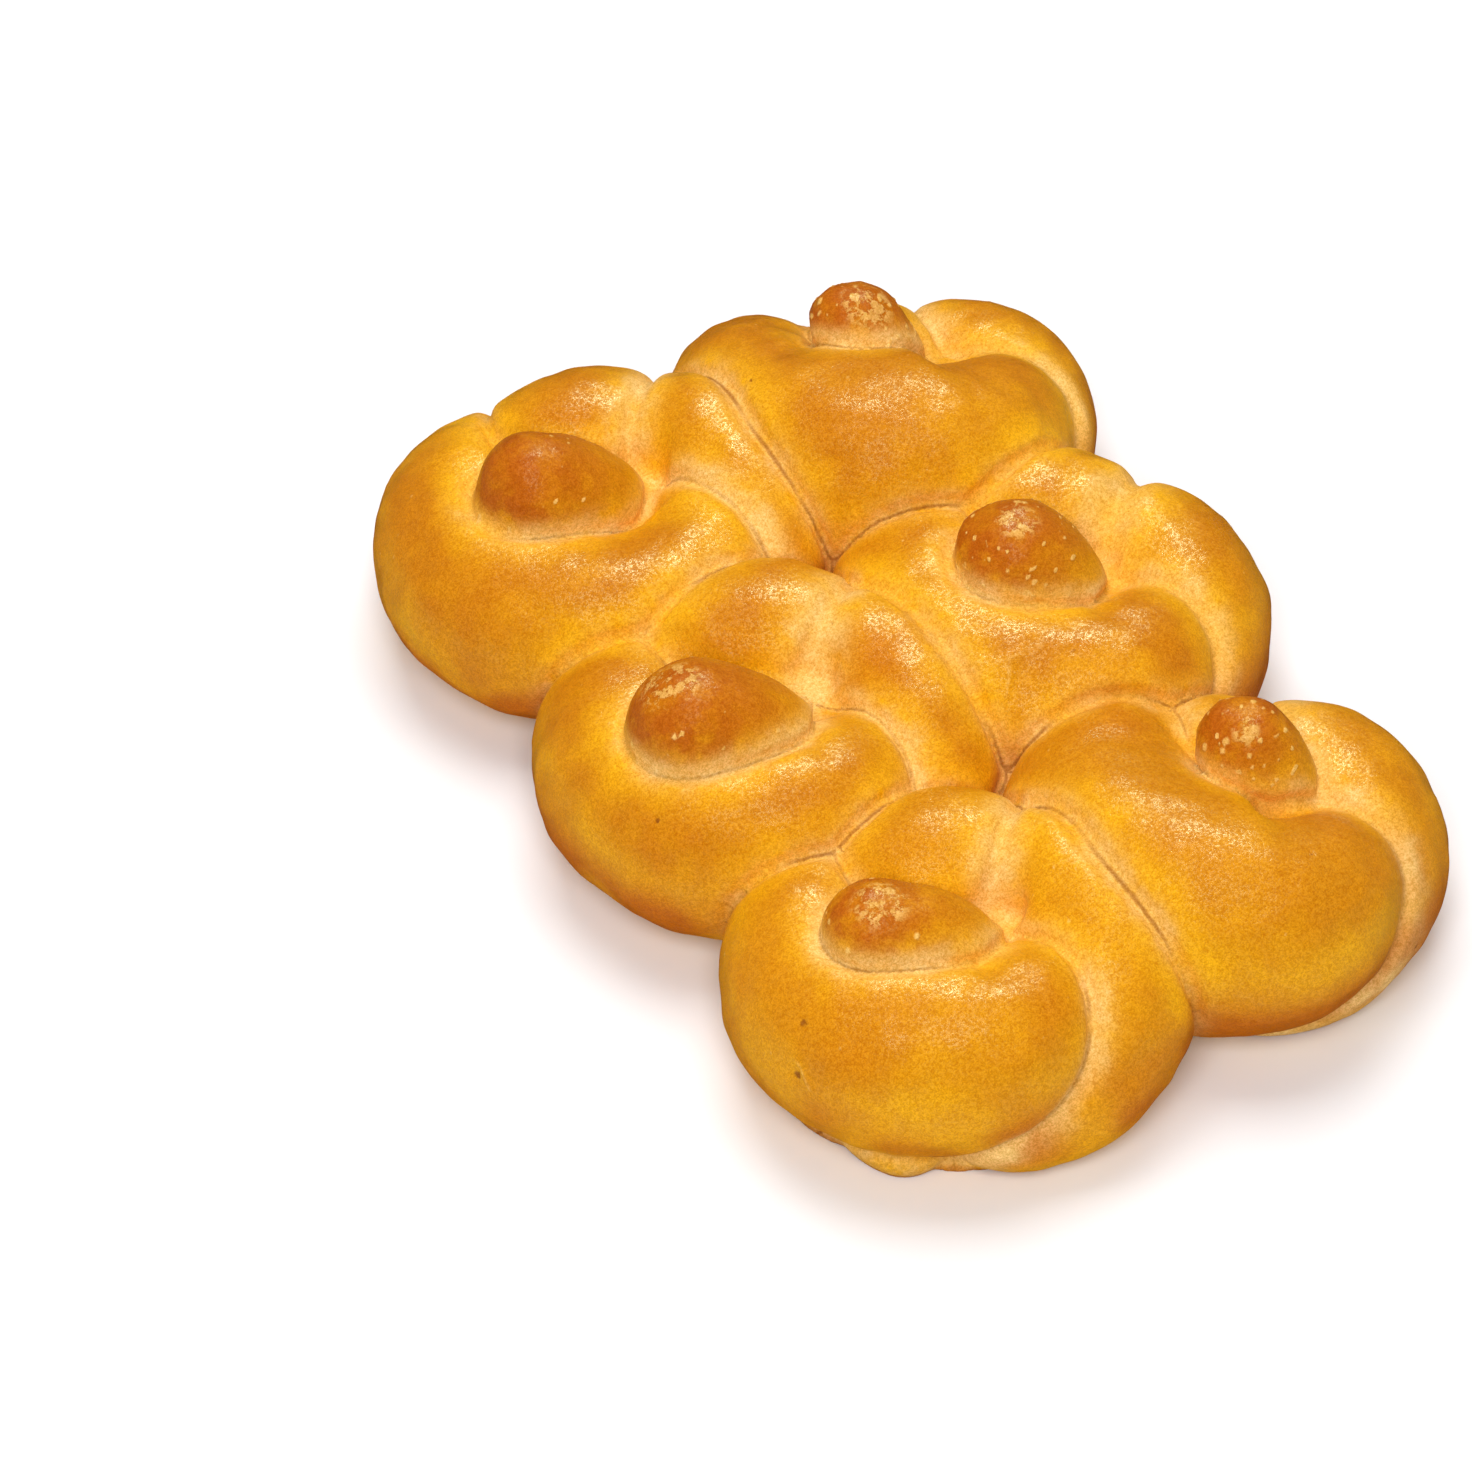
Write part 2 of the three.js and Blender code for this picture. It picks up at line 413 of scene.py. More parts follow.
def back_pass(roll):
    """The stations of a roll's back pass."""
    made = []
    for i, (angle, ring, height, half) in enumerate(BACK_PASS):
        end = i / (len(BACK_PASS) - 1)
        turn = roll["around"] - 2.5 * roll["climb"] * end
        height += 0.4 * roll["back"] - 0.8 * roll["climb"] * end
        made.append((angle + turn, ring + roll["back"], height, half + 0.25 * roll["back"]))
    return made


def rope_line(stations):
    """Points [x, y, z, half thickness] close together on a smooth line through the stations.

    The line is rounded at its tips. The spine that comes with it holds the balls that fill the same rope.
    """
    s = np.array(stations, float)
    ends = np.vstack((s[:1], s, s[-1:]))
    fine = []
    for i in range(1, len(ends) - 2):
        a, b, c, d = ends[i - 1 : i + 3]
        for u in np.linspace(0, 1, CURVE_STEPS, endpoint=False):
            fine.append(b + 0.5 * u * (c - a + u * (2 * a - 5 * b + 4 * c - d + u * (3 * b - 3 * c + d - a))))
    fine.append(s[-1])
    fine = np.array(fine)
    steps = np.linalg.norm(np.diff(fine[:, :3], axis=0), axis=1)
    run = np.concatenate(((0,), np.cumsum(steps)))
    cap = s[len(s) // 2][3]
    count = max(int(run[-1] / LINE_STEP), LEAST_POINTS)
    # Stations crowd towards the tips, where the thickness falls away fastest.
    want = run[-1] * 0.5 * (1 - np.cos(np.linspace(0, math.pi, count)))
    line = np.stack([np.interp(want, run, fine[:, k]) for k in range(4)], axis=1)
    near = np.clip(1 - np.minimum(want, run[-1] - want) / min(cap, run[-1] / 2), 0, 1)
    spine = line[near < TIP_SHARE]
    line[:, 3] = np.maximum(line[:, 3] * np.sqrt(np.maximum(1 - near**2, 0)), TIP_HALF)
    return line, spine


def roll_lines(roll, pitch_x, pitch_y):
    """The roll's middle and its ropes by name, each a line and its spine, in millimetres."""
    middle = placed(MIDDLE[0] + roll["drift"][0], MIDDLE[1] + roll["drift"][1]) + CENTRING
    middle += ((roll["spot"][0] - 0.5) * pitch_x, (roll["spot"][1] - 1) * pitch_y)

    def ringed(stations):
        made = []
        for angle, ring, height, half in stations:
            a = math.radians(angle + LIE)
            made.append((middle[0] + ring * math.cos(a), middle[1] + ring * math.sin(a), height, half))
        return rope_line(made)

    at, turn, length, girth, rise = roll["knob"]
    root = placed(*at) + middle
    out = math.radians(turn + LIE)
    knob = []
    for i, (distance, height, half) in enumerate(KNOB):
        x = root[0] + distance * length * math.cos(out)
        y = root[1] + distance * length * math.sin(out)
        knob.append((x, y, height + rise * i / (len(KNOB) - 1), half * girth))
    lines = {
        "front": ringed(front_pass(roll)),
        "side": ringed(side_pass(roll)),
        "back": ringed(back_pass(roll)),
        "knob": rope_line(knob),
    }
    if roll["foot"]:
        lines["foot"] = ringed(FOOT)
    return middle, lines


def add_rope(line):
    """A rope of dough: a curve with a round bevel, as thick at each point as the line says."""
    deselect()
    bpy.ops.curve.primitive_nurbs_path_add()
    rope = bpy.context.object
    rope.data.splines.clear()
    spline = rope.data.splines.new("POLY")
    spline.points.add(len(line) - 1)
    for point, (x, y, z, half) in zip(spline.points, line):
        point.co = (x * MM, y * MM, z * MM, 1)
        point.radius = half
    rope.data.dimensions = "3D"
    rope.data.twist_mode = "MINIMUM"
    rope.data.bevel_depth = MM
    rope.data.bevel_resolution = 10
    rope.data.use_fill_caps = True
    bpy.ops.object.convert(target="MESH")
    return bpy.context.object


def add_dome(x, y, reach, height, below, deep=None):
    """A dome of dough that goes down below the tray. A long one lies along a roll's own directions."""
    deselect()
    bpy.ops.mesh.primitive_uv_sphere_add(segments=48, ring_count=24, radius=1)
    dome = bpy.context.object
    dome.scale = (reach * MM, (deep or reach) * MM, (height + below) / 2 * MM)
    dome.rotation_euler.z = math.radians(LIE)
    dome.location = (x * MM, y * MM, (height - below) / 2 * MM)
    bpy.ops.object.transform_apply(location=True, rotation=True, scale=True)
    return dome


def apply_modifier(obj, kind, **settings):
    """Add a modifier to the object and apply it."""
    pick([obj])
    modifier = obj.modifiers.new(kind.title(), kind)
    for key, value in settings.items():
        setattr(modifier, key, value)
    bpy.ops.object.modifier_apply(modifier=modifier.name)


def cut_on_tray(slab):
    """Cut away what is below the tray, which leaves a flat sole."""
    deselect()
    bpy.ops.mesh.primitive_cube_add(size=1, location=(0, 0, -TRAY[2] / 2))
    tray = bpy.context.object
    tray.scale = TRAY
    bpy.ops.object.transform_apply(location=True, rotation=True, scale=True)
    apply_modifier(slab, "BOOLEAN", operation="DIFFERENCE", object=tray, solver="MANIFOLD")
    pick([tray])
    bpy.ops.object.delete()


def positions(mesh):
    """The skin's points, in metres."""
    co = np.empty(len(mesh.vertices) * 3)
    mesh.vertices.foreach_get("co", co)
    return co.reshape(-1, 3)


def normals(mesh):
    """The way out of the skin at each point."""
    n = np.empty(len(mesh.vertices) * 3)
    mesh.vertices.foreach_get("normal", n)
    return n.reshape(-1, 3)


def move(mesh, co):
    """Set the skin's points, in metres."""
    mesh.vertices.foreach_set("co", co.ravel())
    mesh.update()


def outside(points, spine):
    """How far points lie outside one rope, in millimetres, and the straight way out of it."""
    gap = np.full(len(points), FAR)
    way = np.zeros_like(points)
    for x, y, z, half in spine:
        offset = points - (x, y, z)
        length = np.linalg.norm(offset, axis=1)
        nearer = length - half < gap
        gap[nearer] = length[nearer] - half
        way[nearer] = offset[nearer] / length[nearer, None]
    return gap, way


class Passes:
    """The two passes nearest to each point of the skin, and how far it lies outside each."""

    def __init__(self, co, batch):
        count = len(co)
        self.gap = np.full((2, count), FAR)
        self.way = np.zeros((2, count, 3))
        self.rank = np.zeros((2, count))
        self.roll = np.full((2, count), -1)
        self.name = np.full((2, count), "none", dtype="<U5")
        self.knob = np.full(count, FAR)
        self.rest = np.full(count, FAR)
        for number, (middle, lines) in enumerate(batch):
            close = np.flatnonzero(np.linalg.norm(co[:, :2] - middle, axis=1) < ROLL_REACH)
            for name, (_, spine) in lines.items():
                gap, way = outside(co[close], spine)
                side = self.knob if name == "knob" else self.rest
                side[close] = np.minimum(side[close], gap)
                rank = RANK[name]
                if name == "back" and ROLLS[number]["climb"] > 0:
                    rank = RANK["front"] - 0.5
                first = gap < self.gap[0, close]
                second = ~first & (gap < self.gap[1, close])
                for mine in (self.gap, self.way, self.rank, self.roll, self.name):
                    mine[1, close[first]] = mine[0, close[first]]
                for slot, which in ((0, first), (1, second)):
                    spots = close[which]
                    self.gap[slot, spots] = gap[which]
                    self.way[slot, spots] = way[which]
                    self.rank[slot, spots] = rank
                    self.roll[slot, spots] = number
                    self.name[slot, spots] = name

    @property
    def seam(self):
        """How far each point is from the nearest seam."""
        return self.gap[1] - self.gap[0]

    @property
    def same(self):
        """Whether both passes belong to one roll."""
        return self.roll[0] == self.roll[1]

    def own(self, key):
        """What the roll that each point is on has under this key."""
        return np.array([roll[key] for roll in ROLLS])[self.roll[0]]


def seam_looks(passes, under, height):
    """How pale the dough beside each seam is, and how dark the line of painted crease shade in it."""
    share, tucked, lap, dark = (np.full(len(under), value) for value in KISS)
    for pair, values in SEAMS.items():
        here = passes.same & np.isin(passes.name[0], pair) & np.isin(passes.name[1], pair)
        for mine, value in zip((share, tucked, lap, dark), values):
            mine[here] = value
    # Low down the tucked side saw least heat, so its pale band is wider there.
    low = 1 - smoothstep(height, 10, 30)
    width = np.where(under, tucked * passes.own("lip") * (1 + 0.6 * low), lap)
    pale = share * (1 - smoothstep(passes.seam / width, 0.2, 1.0))
    return pale, dark


def settle(co, batch):
    """Set the skin on the ropes' own surfaces, except close to a seam, where it stays rounded."""
    passes = Passes(co, batch)
    near = (1 - smoothstep(np.abs(passes.gap[0]), 0.4, 1.2)) * smoothstep(passes.seam, 0.8, 3.0)
    return co - passes.way[0] * (passes.gap[0] * near)[:, None]


def swell(co, scale, shift):
    """Slow noise over the skin."""
    return np.array([noise.noise((x * scale + shift, y * scale, z * scale)) for x, y, z in co])


def soften(mesh, values, times):
    """Values spread over the skin: each point takes the mean of itself and its neighbours, time and again."""
    ends = np.empty(len(mesh.edges) * 2, dtype=np.int64)
    mesh.edges.foreach_get("vertices", ends)
    a, b = ends.reshape(-1, 2).T
    count = len(values)
    shares = 1 + np.bincount(a, minlength=count) + np.bincount(b, minlength=count)
    for _ in range(times):
        values = values + np.bincount(a, values[b], count) + np.bincount(b, values[a], count)
        values = values / shares
    return values


def spots_at(co, places):
    """How near each point is to any of the places [x, y, z, size, strength], from 0 to their strength."""
    near = np.zeros(len(co))
    for x, y, z, size, strength in places:
        d = np.linalg.norm(co - (x, y, z), axis=1)
        near = np.maximum(near, np.exp(-((d / size) ** 2)) * strength)
    return near


def near_lines(co, rows, width):
    """How near each point is to any of the rows of points, from 0 to 1."""
    near = np.full(len(co), FAR)
    for row in rows:
        for a, b in zip(np.array(row), np.array(row[1:])):
            along = np.clip((co - a) @ (b - a) / ((b - a) @ (b - a)), 0, 1)
            near = np.minimum(near, np.linalg.norm(co - a - along[:, None] * (b - a), axis=1))
    return np.exp(-((near / width) ** 2))


def attribute(mesh, name, values):
    """Mark each point of the skin with a value."""
    layer = mesh.attributes.new(name, "FLOAT", "POINT")
    layer.data.foreach_set("value", np.ascontiguousarray(values, dtype=np.float32))


def grow_slab(batch, sizes):
    """The ropes and the dough below them, grown into one skin and cut flat on the tray."""
    dough = []
    for (middle, lines), roll in zip(batch, ROLLS):
        dough += [add_rope(line) for line, _ in lines.values()]
        dough.append(add_dome(*middle, CORE[0], CORE[1] + roll["knob"][4] / 2, CORE[2]))
        dough.append(add_dome(*middle, SOLE[0], SOLE[2], SOLE[2], SOLE[1]))
    for row in (-0.5, 0.5):
        dough.append(add_dome(CENTRING[0], CENTRING[1] + row * sizes.pitch_y / MM, *WEB))
    pick(dough)
    slab = dough[0]
    bpy.ops.object.join()
    bpy.ops.object.transform_apply(location=True, rotation=True, scale=True)
    slab.name = "knotted_rolls_crust"
    slab.data.name = "knotted_rolls_crust"
    apply_modifier(slab, "REMESH", mode="VOXEL", voxel_size=sizes.crumb_step)
    apply_modifier(slab, "SMOOTH", factor=0.5, iterations=4)
    cut_on_tray(slab)
    return slab


def even_out(slab, batch):
    """Set the skin on the ropes and smooth it, all but the seams."""
    mesh = slab.data
    co = settle(positions(mesh) / MM, batch)
    move(mesh, co * MM)
    plain = slab.vertex_groups.new(name="plain")
    for index, weight in enumerate(smoothstep(Passes(co, batch).seam, 1.5, 5.0)):
        if weight > 0.01:
            plain.add((index,), weight, "REPLACE")
    apply_modifier(slab, "SMOOTH", factor=0.6, iterations=14, vertex_group="plain")
    slab.vertex_groups.clear()


def knob_looks(co, batch):
    """How far towards its knob's tip each point is, and how near the knob's rough patch."""
    tip, flaky = np.zeros(len(co)), np.zeros(len(co))
    for (_, lines), roll in zip(batch, ROLLS):
        line = lines["knob"][0]
        root, end = line[len(line) // 4, :3], line[-1, :3]
        length = np.linalg.norm(end - root)
        way = (end - root) / length
        near = np.linalg.norm(co - line[len(line) // 2, :3], axis=1) < KNOB_REACH
        tip[near] = np.maximum(tip[near], np.clip((co[near] - root) @ way / length, 0, 1))
        along, aside, size = roll["flaky"]
        patch = root[:2] + (end - root)[:2] * along + np.array((-way[1], way[0])) * aside
        flaky[near] += np.exp(-((np.linalg.norm(co[near, :2] - patch, axis=1) / size) ** 2))
    return tip, flaky


def groove(seam, shape):
    """A groove's depth at this distance from the seam, for its depth and half width."""
    depth, half_width = shape
    return depth * np.exp(-((seam / half_width) ** 2))


def bake_slab(sizes):
    """The slab's skin, with its relief, and marked with what browning needs."""
    batch = [roll_lines(roll, sizes.pitch_x / MM, sizes.pitch_y / MM) for roll in ROLLS]
    slab = grow_slab(batch, sizes)
    even_out(slab, batch)
    mesh = slab.data
    co = positions(mesh) / MM
    passes = Passes(co, batch)
    seam = passes.seam
    # How far a point is from a seam, above zero on the pass that is tucked under and below zero on the other.
    under = np.where(passes.same, passes.rank[1] > passes.rank[0], passes.roll[0] < passes.roll[1])
    lap = np.clip(np.where(under, seam, -seam), -MARK_REACH, MARK_REACH)
    on_knob = smoothstep(passes.rest - passes.knob, -0.3, 0.5)
    tip, flaky = knob_looks(co, batch)
    rng = np.random.default_rng(sizes.seed)

    def strewn(where, count, small, large):
        """Random places, more of them where this is larger, each with a size and a strength."""
        chosen = co[rng.choice(len(co), count, replace=False, p=where / where.sum())]
        return [(*place, rng.uniform(small, large), rng.uniform(0.4, 1.0)) for place in chosen]

    # Slow swells in the crust, the groove along each seam, blisters on the knobs and specks elsewhere.
    up = normals(mesh)
    rise = sizes.unevenness / MM * sum(share * swell(co, scale, shift) for share, scale, shift in SWELLS)
    cut = np.where(passes.same, groove(seam, PASS_GROOVE), groove(seam, KISS_GROOVE))
    cut *= sizes.seam_depth / MM
    on_top = (on_knob > 0.9) & (tip > 0.3) & (up[:, 2] > 0)
    blister = spots_at(co, strewn(on_top * passes.own("dots"), *BLISTERS))
    speck = spots_at(co, strewn((seam > 3) & (up[:, 2] > 0.2) & (on_knob < 0.1), *SPECKS))
    pit = spots_at(co, [(*place, 1.0) for place in PITS])
    fold = near_lines(co, FOLDS, FOLD_WIDTH)
    relief = rise - cut + BLISTER_RISE * blister + SPECK_RISE * speck
    relief += FOLD_RISE * fold - PIT_DEPTH * pit - spots_at(co, [DENT])
    relief *= smoothstep(co[:, 2], 0.2, 4.0)
    move(mesh, (co + up * relief[:, None]) * MM)

    pale, line = seam_looks(passes, under, co[:, 2])
    marks = {
        "seam": np.minimum(seam, MARK_REACH),
        "pale": soften(mesh, pale, SOFTENING),
        # The line mark is the dark line of painted crease shade in each seam.
        "line": line,
        "lap": lap,
        "knob": on_knob,
        "tip": tip * on_knob,
        "blister": blister,
        "flaky": flaky,
        "speck": np.maximum(speck * 0.8, fold * 0.6),
        "pit": pit,
        "roasted": spots_at(co, BROWNED_AND_SHADED),
        "baked": soften(mesh, passes.own("baked"), SOFTENING),
        "height": co[:, 2],
        "up": normals(mesh)[:, 2],
    }
    for name, values in marks.items():
        attribute(mesh, name, values)
    pick([slab])
    bpy.ops.object.shade_smooth()
    return slab


# The mix node's sockets for colours, which share their names with those for numbers and vectors.
COLOUR_A, COLOUR_B, COLOUR_RESULT = 6, 7, 2


class Nodes:
    """A material's nodes, added and linked by what they do."""

    def __init__(self, name):
        self.material = bpy.data.materials.new(name)
        self.material.use_nodes = True
        self.tree = self.material.node_tree
        self.shader = self.tree.nodes["Principled BSDF"]

    def add(self, kind, inputs=None, **settings):
        """A new node with these settings, and its inputs plugged."""
        node = self.tree.nodes.new(kind)
        for key, value in settings.items():
            setattr(node, key, value)
        for key, value in (inputs or {}).items():
            self.plug(value, node.inputs[key])
        return node

    def plug(self, value, socket):
        """Link another node's output to the socket, or set the socket to a plain value."""
        if isinstance(value, bpy.types.NodeSocket):
            self.tree.links.new(value, socket)
        else:
            socket.default_value = value

    def maths(self, operation, a, b=0.0, clamp=False):
        """The sum, the product or the like of two values."""
        return self.add("ShaderNodeMath", {0: a, 1: b}, operation=operation, use_clamp=clamp).outputs[0]

    def span(self, value, low, high, to_low=0.0, to_high=1.0):
        """A smooth step from one value to another, between low and high."""
        node = self.add(
            "ShaderNodeMapRange",
            {"Value": value, "From Min": low, "From Max": high, "To Min": to_low, "To Max": to_high},
            interpolation_type="SMOOTHSTEP",
        )
        return node.outputs["Result"]

    def blend(self, amount, a, b, kind="MIX"):
        """The colour a blended towards b by the amount."""
        node = self.add("ShaderNodeMix", data_type="RGBA", blend_type=kind)
        self.plug(amount, node.inputs["Factor"])
        for value, socket in ((a, node.inputs[COLOUR_A]), (b, node.inputs[COLOUR_B])):
            self.plug(value if isinstance(value, bpy.types.NodeSocket) else (*value, 1), socket)
        return node.outputs[COLOUR_RESULT]

    def read(self, name):
        """One of the marks that the skin carries."""
        return self.add("ShaderNodeAttribute", attribute_name=name).outputs["Fac"]

    def cloud(self, place, scale, detail=2.0, roughness=0.5):
        """Noise with this many swells to the metre."""
        node = self.add(
            "ShaderNodeTexNoise", {"Vector": place, "Scale": scale, "Detail": detail, "Roughness": roughness}
        )
        return node.outputs["Fac"]


def crust_material(colours):
    """Egg-washed crust: brown on the crests, gold on the sides, cream by the seams and dark on the knobs."""
    n = Nodes("crust")
    place = n.add("ShaderNodeTexCoord").outputs["Object"]
    seam, lap, pale, line = (n.read(name) for name in ("seam", "lap", "pale", "line"))
    knob, tip, blister, flaky = (n.read(name) for name in ("knob", "tip", "blister", "flaky"))
    speck, pit, height, up = (n.read(name) for name in ("speck", "pit", "height", "up"))

    patch = n.cloud(place, 38, 2)
    mottle = n.cloud(place, 150, 3, 0.6)
    freckle = n.cloud(place, 700, 2, 0.6)
    grit = n.cloud(place, 1250, 2, 0.7)
    grain = n.cloud(place, 2600, 2, 0.7)

    # Browning: most on the crests, with patches where the wash lay thicker. The darker brown on patches low
    # on the sides and at the set places is partly browning and partly painted shade.
    crest = n.maths("MULTIPLY", n.span(up, -0.2, 0.9), n.span(height, 6, 40))
    crest = n.maths("MULTIPLY", crest, n.span(seam, 1.0, 12, 0.2, 1.0))
    crest = n.maths("ADD", crest, n.maths("MULTIPLY", n.maths("SUBTRACT", patch, 0.5), 1.5))
    crest = n.maths("ADD", crest, n.maths("MULTIPLY", n.maths("SUBTRACT", mottle, 0.5), 0.55))
    crest = n.maths("ADD", crest, n.maths("MULTIPLY", n.maths("SUBTRACT", freckle, 0.5), 0.35), clamp=True)
    tone = n.blend(n.maths("MULTIPLY", crest, n.read("baked")), colours.gold, colours.brown)
    # A band low on the sides and the set places take the darker flank brown, partly browning and partly
    # painted shade.
    belly = n.maths("MULTIPLY", n.span(height, 3, 12), n.span(height, 20, 36, 1.0, 0.0))
    belly = n.maths("MULTIPLY", belly, n.span(n.cloud(place, 24, 2), 0.38, 0.56, 0.2, 1.0))
    roasted = n.maths("MULTIPLY", n.read("roasted"), n.span(n.cloud(place, 90, 3, 0.6), 0.3, 0.52, 0.6, 1.0))
    tone = n.blend(n.maths("MAXIMUM", belly, roasted), tone, colours.flank_and_shade)
    low = n.maths("MULTIPLY", n.span(height, 1, 9, 0.5, 0.0), n.span(mottle, 0.4, 0.6))
    tone = n.blend(low, tone, colours.cream)

    # Seams: pale bands with ragged edges, and a soft pale ring round each knob.
    ragged = n.maths("MULTIPLY", n.maths("SUBTRACT", mottle, 0.5), n.span(pale, 0.0, 0.25, 0, 1.1))
    ragged = n.maths("ADD", pale, ragged)
    ragged = n.maths("MULTIPLY", ragged, n.span(patch, 0.36, 0.56, 0.45, 1.15), clamp=True)
    tone = n.blend(ragged, tone, colours.cream)

    # Knobs: darkest at the tip and on top, pale round the base, with rough pale patches and small blisters.
    dark = n.maths("MULTIPLY", knob, n.span(tip, 0.1, 0.9, 0.1, 1.0))
    dark = n.maths("MULTIPLY", dark, n.span(up, -0.6, 0.5, 0.3, 1.0))
    dark = n.maths("MULTIPLY", dark, n.span(seam, 0.8, 7.0, 0.0, 1.0))
    dark = n.maths("MULTIPLY", dark, n.span(mottle, 0.32, 0.6, 0.5, 1.0))
    tone = n.blend(dark, tone, colours.knob)
    flakes = n.maths("MULTIPLY", n.span(n.cloud(place, 400, 4, 0.7), 0.48, 0.56), n.span(flaky, 0.2, 0.6))
    rough_patch = n.maths("MULTIPLY", n.maths("MULTIPLY", flakes, knob), 0.6)
    spots = n.maths("MAXIMUM", n.maths("MULTIPLY", n.span(blister, 0.3, 0.6), 0.8), rough_patch)
    spots = n.maths("MAXIMUM", spots, n.maths("MULTIPLY", n.span(speck, 0.35, 0.75), 0.45))
    tone = n.blend(spots, tone, colours.blister)

    # The brown rim where the dough met the tray, the dark line of painted crease shade in each seam, and the
    # pits.
    tone = n.blend(n.span(height, 0.4, 2.6, 0.65, 0.0), tone, colours.knob)
    thin = n.span(n.maths("ABSOLUTE", lap), 0.05, 0.55, 1.0, 0.0)
    thin = n.maths("MULTIPLY", thin, n.span(seam, 1.2, 2.0, 1.0, 0.0))
    line = n.maths("MULTIPLY", n.maths("MULTIPLY", line, thin), n.span(patch, 0.42, 0.6, 0.1, 0.85))
    pits_and_seam_shade = n.maths("MAXIMUM", line, n.span(pit, 0.35, 0.7, 0.0, 0.85))
    tone = n.blend(pits_and_seam_shade, tone, colours.scorch_and_seam_shade)

    # Fine grains: dark ones are browner and light ones yellower.
    shade = n.maths("ADD", n.span(grain, 0.36, 0.64, 0.84, 1.16), n.span(grit, 0.38, 0.62, -0.11, 0.11))
    shade = n.maths("ADD", shade, n.span(freckle, 0.35, 0.65, -0.07, 0.07))
    red = n.span(shade, 0.7, 1.3, 0.84, 1.16)
    blue = n.maths("MULTIPLY", shade, shade)
    shade = n.add("ShaderNodeCombineColor", {"Red": red, "Green": shade, "Blue": blue}).outputs[0]
    tone = n.blend(1.0, tone, shade, "MULTIPLY")
    n.plug(tone, n.shader.inputs["Base Color"])

    # The egg wash is a coat, thinnest in the seams, low down and on the knobs.
    n.plug(n.span(freckle, 0.3, 0.7, 0.38, 0.55), n.shader.inputs["Roughness"])
    n.shader.inputs["Specular IOR Level"].default_value = 0.06
    n.shader.inputs["Coat Roughness"].default_value = 0.27
    wash = n.maths("MULTIPLY", n.span(mottle, 0.35, 0.6, 0.3, 1.0), n.span(height, 8, 30, 0.15, 1.0))
    wash = n.maths("MULTIPLY", wash, n.span(seam, 0.8, 4.5))
    wash = n.maths("MULTIPLY", wash, n.span(grit, 0.44, 0.58, 0.1, 1.0))
    wash = n.maths("MULTIPLY", wash, n.span(knob, 0, 1, 1.0, 0.6))
    n.plug(wash, n.shader.inputs["Coat Weight"])

    # Bumps too small for the skin's facets, in metres.
    broad = n.maths("ADD", n.maths("MULTIPLY", mottle, 0.00022), n.maths("MULTIPLY", spots, 0.00018))
    relief = n.maths("ADD", broad, n.maths("MULTIPLY", freckle, 0.00009))
    relief = n.maths("ADD", relief, n.maths("MULTIPLY", grain, 0.00008))
    sparkle = n.maths("ADD", n.maths("MULTIPLY", broad, 0.3), n.maths("MULTIPLY", grit, 0.00014))
    sparkle = n.maths("ADD", sparkle, n.maths("MULTIPLY", grain, 0.00005))
    for share, bumps, socket in ((0.8, relief, "Normal"), (1.0, sparkle, "Coat Normal")):
        bump = n.add("ShaderNodeBump", {"Height": bumps, "Strength": share, "Distance": 1.0})
        n.plug(bump.outputs["Normal"], n.shader.inputs[socket])
    return n.material


class BAKERY_OT_slab(bpy.types.Operator):
    """Bake the slab of six knotted rolls"""

    bl_idname = "bakery.slab"
    bl_label = "Slab of knotted rolls"

    def execute(self, context):
        slab = bake_slab(context.scene.slab_sizes)
        slab.data.materials.clear()
        slab.data.materials.append(crust_material(context.scene.crust_colours))
        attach(slab, "root")
        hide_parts("knotted_rolls")
        return {"FINISHED"}


def view_direction(azimuth, elevation):
    """The direction from the slab to a viewer or a lamp."""
    a, e = math.radians(azimuth), math.radians(elevation)
    return Vector((math.sin(a) * math.cos(e), -math.cos(a) * math.cos(e), math.sin(e)))


def aimed(obj, way):
    """Turn a lamp or a camera to look along this direction."""
    obj.rotation_mode = "QUATERNION"
    obj.rotation_quaternion = way.to_track_quat("-Z", "Y")


def add_lamp(name, where, size, watts, tint):
    """A rectangular lamp that looks at the slab."""
    toward = view_direction(*where)
    deselect()
    bpy.ops.object.light_add(type="AREA", location=Vector(LAMP_AIM) + toward * LAMP_DISTANCE)
    lamp = bpy.context.object
    lamp.name = name
    lamp.data.shape = "RECTANGLE"
    lamp.data.size, lamp.data.size_y = size
    lamp.data.energy = watts
    lamp.data.color = tint
    aimed(lamp, -toward)
    return lamp


def add_floor(tint):
    """The pale floor, which leaves no reflection on the egg wash."""
    deselect()
    bpy.ops.mesh.primitive_plane_add(size=FLOOR_SIZE)
    floor = bpy.context.object
    floor.name = "studio_floor"
    n = Nodes("studio_floor")
    n.shader.inputs["Base Color"].default_value = (*tint, 1)
    n.shader.inputs["Roughness"].default_value = 0.9
    n.shader.inputs["Specular IOR Level"].default_value = 0.1
    floor.data.materials.append(n.material)
    floor.visible_glossy = False


def add_air():
    """Soft light from all round, which leaves no reflection."""
    world = bpy.data.worlds.new("studio_air")
    bpy.context.scene.world = world
    world.use_nodes = True
    world.node_tree.nodes["Background"].inputs["Color"].default_value = (*WHITE, 1)
    world.node_tree.nodes["Background"].inputs["Strength"].default_value = AIR_LIGHT
    world.cycles_visibility.glossy = False


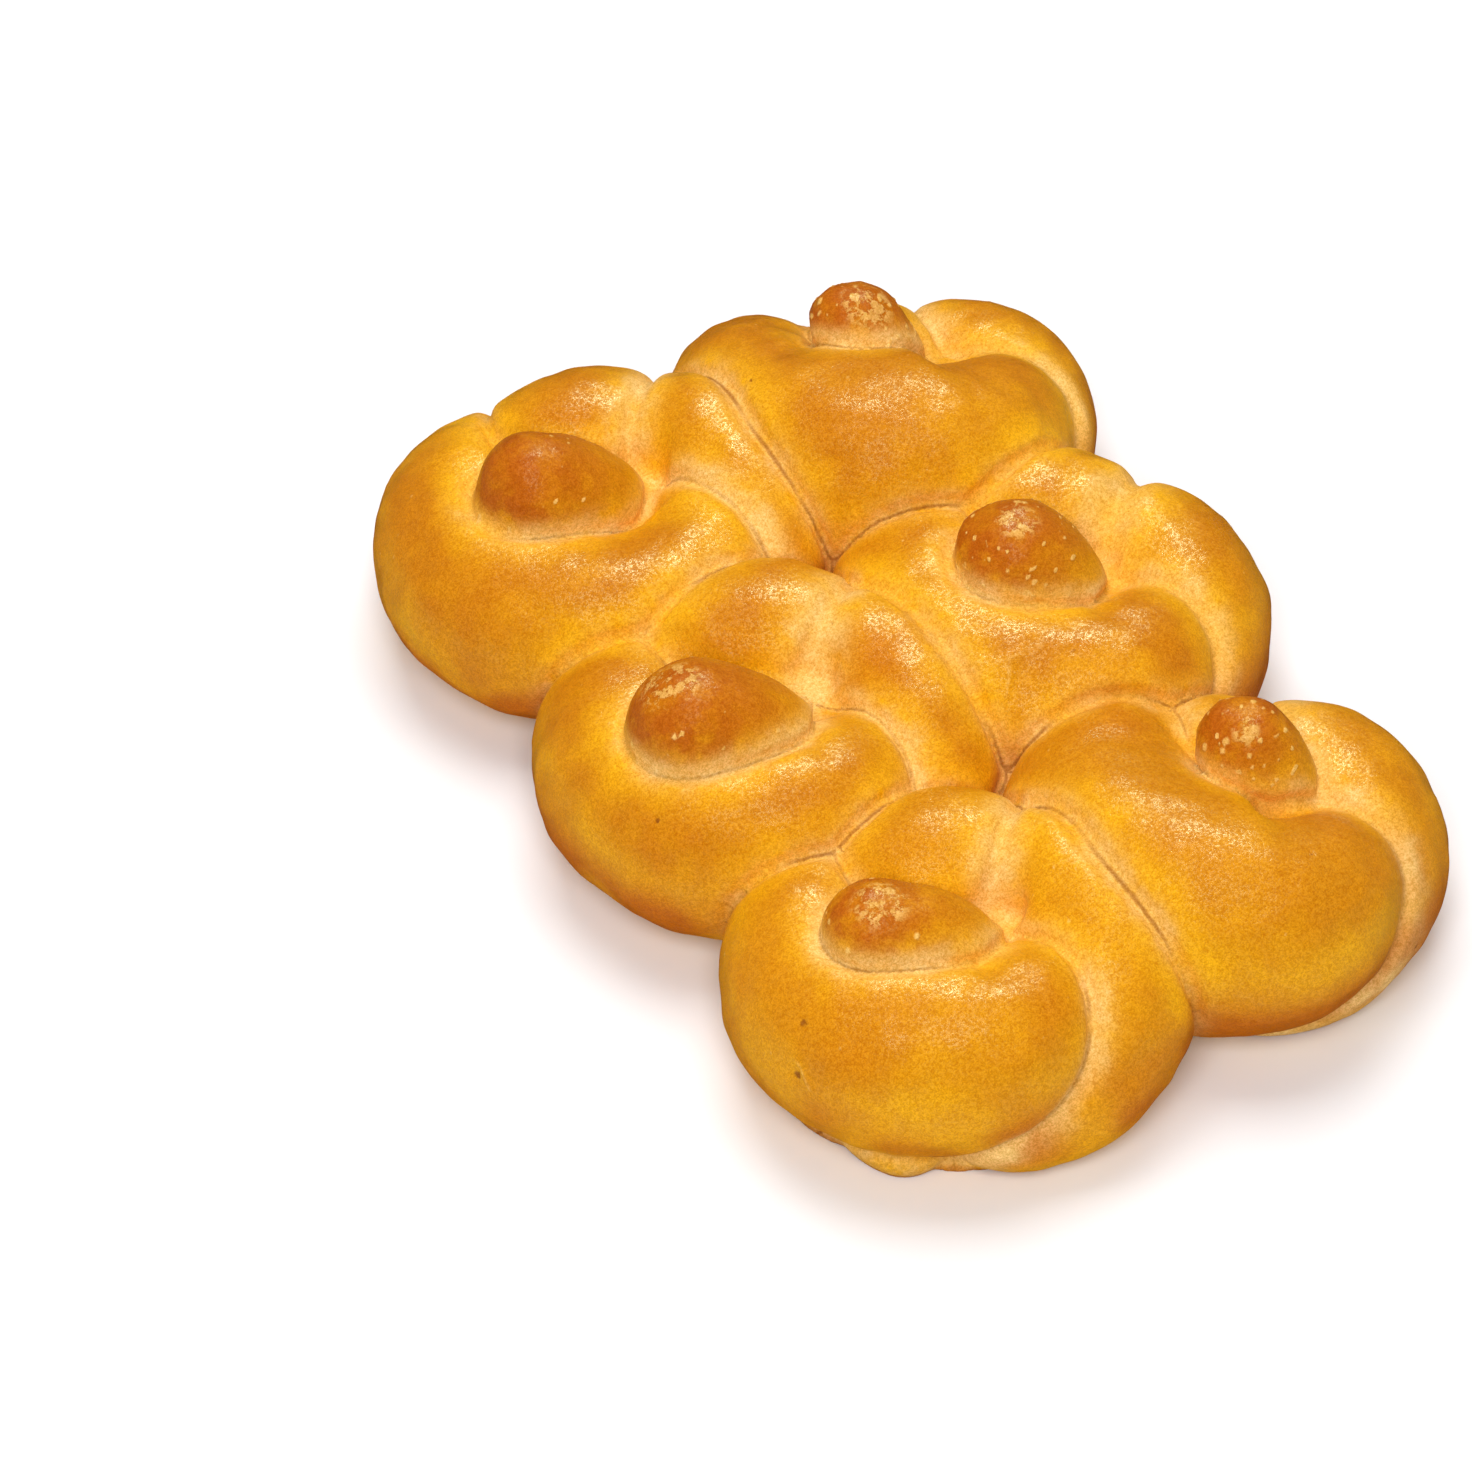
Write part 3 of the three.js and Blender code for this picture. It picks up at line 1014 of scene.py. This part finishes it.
def add_camera():
    """A camera that sees the slab as the photo does."""
    toward = view_direction(*CAMERA_VIEW)
    deselect()
    bpy.ops.object.camera_add(location=Vector(CAMERA_AIM) + toward * CAMERA_DISTANCE)
    camera = bpy.context.object
    camera.name = "photo_camera"
    aimed(camera, -toward)
    camera.data.sensor_width = SENSOR_MM
    camera.data.lens = FOCAL_PIXELS / PICTURE_PIXELS * SENSOR_MM
    camera.data.clip_end = CAMERA_REACH
    bpy.context.scene.camera = camera


class BAKERY_OT_studio(bpy.types.Operator):
    """Set the pale floor, the soft lights and the camera"""

    bl_idname = "bakery.studio"
    bl_label = "Studio"

    def execute(self, context):
        add_floor(context.scene.crust_colours.floor)
        add_air()
        for name, settings in SOFTBOXES.items():
            add_lamp(name, *settings).visible_glossy = False
        for name, settings in GLINT_LAMPS.items():
            add_lamp(name, *settings).visible_diffuse = False
        add_camera()
        context.scene.view_settings.view_transform = "Standard"
        return {"FINISHED"}


class BAKERY_PT_panel(bpy.types.Panel):
    """The bakery's pieces, sizes and colours"""

    bl_idname = "BAKERY_PT_panel"
    bl_label = "Knotted roll slab"
    bl_space_type = "VIEW_3D"
    bl_region_type = "UI"
    bl_category = "Bakery"

    def draw(self, context):
        for group in (context.scene.slab_sizes, context.scene.crust_colours):
            for key in group.bl_rna.properties.keys():
                if key not in {"rna_type", "name"}:
                    self.layout.prop(group, key)
        self.layout.operator("bakery.slab")
        self.layout.operator("bakery.studio")


CLASSES = (SlabSizes, CrustColours, BAKERY_OT_slab, BAKERY_OT_studio, BAKERY_PT_panel)


def register():
    for part in CLASSES:
        bpy.utils.register_class(part)
    bpy.types.Scene.slab_sizes = PointerProperty(type=SlabSizes)
    bpy.types.Scene.crust_colours = PointerProperty(type=CrustColours)


def unregister():
    del bpy.types.Scene.crust_colours
    del bpy.types.Scene.slab_sizes
    for part in reversed(CLASSES):
        bpy.utils.unregister_class(part)


def main():
    """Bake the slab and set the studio."""
    register()
    bpy.ops.bakery.slab()
    bpy.ops.bakery.studio()


if __name__ == "__main__":
    main()
